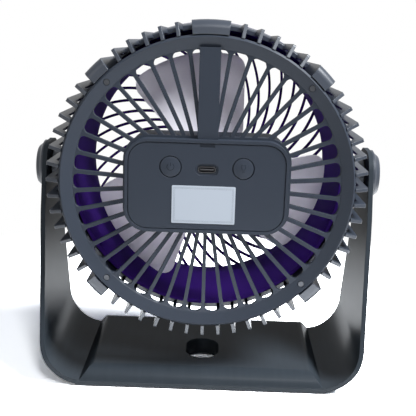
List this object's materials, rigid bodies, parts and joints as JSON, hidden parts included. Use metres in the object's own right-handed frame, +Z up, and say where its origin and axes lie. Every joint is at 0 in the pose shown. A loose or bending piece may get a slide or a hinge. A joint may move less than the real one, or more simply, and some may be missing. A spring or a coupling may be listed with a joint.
{
  "type": "portable camping fan",
  "caption": "Small round fan with a finned ring head that tilts in a bent strap stand, with a rechargeable pod, push buttons and a front lamp.",
  "frame": {"origin": "on the floor, under the middle of the whole width and depth, 1.8 mm behind the tilt axis", "axes": "+Z up, +X along the tilt axis, +Y the way the air leaves; the rear grille and the buttons face -Y"},
  "size_m": [0.189, 0.0896, 0.1946],
  "materials": {
    "stand_plastic": "glossy dark slate injection moulding",
    "body_plastic": "satin dark slate injection moulding",
    "indigo_plastic": "semi-gloss deep indigo moulding",
    "blade_plastic": "milky translucent grey moulding",
    "label_film": "silver-grey film, bare",
    "lens_plastic": "frosted white diffuser",
    "steel": "zinc plated steel",
    "brass": "turned brass",
    "bronze": "sintered bronze",
    "rubber": "soft black rubber",
    "magnet": "black ferrite",
    "armature": "laminated steel and copper winding",
    "cell_wrap": "shrink wrap",
    "board": "green circuit board",
    "white_board": "white lamp board",
    "chip": "black component",
    "reflector": "metallised reflector",
    "tray": "black carrier"
  },
  "bodies": {
    "stand": {"stand_frame": "stand_plastic", "stand_floor": "stand_plastic", "stand_feet": "rubber", "pivot_cap_left": "stand_plastic", "pivot_cap_right": "stand_plastic"},
    "head": {"pivot_bolts": "steel", "pivot_washers": "rubber", "pivot_inserts": "brass", "rear_grille": "body_plastic", "battery_tub": "body_plastic", "grille_screws": "steel", "pod_cover": "body_plastic", "usb_socket": "steel", "rating_label": "label_film", "fin_housing": "body_plastic", "cooling_fins": "body_plastic", "front_shell": "indigo_plastic", "front_guard": "indigo_plastic", "motor_can": "steel", "motor_end_bell": "tray", "motor_bearing_front": "bronze", "motor_bearing_rear": "bronze", "motor_magnets": "magnet", "motor_screws": "steel", "battery_cells": "cell_wrap", "battery_carrier": "tray", "control_board": "board", "tact_switches": "chip", "board_components": "chip", "board_screws": "steel", "lamp_board": "white_board", "lamp_leds": "lens_plastic", "lamp_reflector": "reflector", "lamp_lens": "lens_plastic"},
    "rotor": {"fan_rotor": "blade_plastic", "motor_shaft": "steel", "motor_armature": "armature", "rotor_screw": "steel"},
    "power_button": {"power_button": "body_plastic"},
    "light_button": {"light_button": "body_plastic"}
  },
  "joints": [
    {"name": "head_tilt", "type": "hinge", "parent": "stand", "child": "head", "pos_m": [0, 0.0018, 0.1125], "axis": [1, 0, 0], "range_deg": [-135, 135]},
    {"name": "fan_spin", "type": "hinge", "parent": "head", "child": "rotor", "pos_m": [0, 0.0018, 0.1125], "axis": [0, 1, 0], "continuous": true},
    {"name": "power_press", "type": "slide", "parent": "head", "child": "power_button", "axis": [0, 1, 0], "range_m": [0, 0.0006], "stiffness_N_per_m": 800},
    {"name": "light_press", "type": "slide", "parent": "head", "child": "light_button", "axis": [0, 1, 0], "range_m": [0, 0.0006], "stiffness_N_per_m": 800}
  ]
}
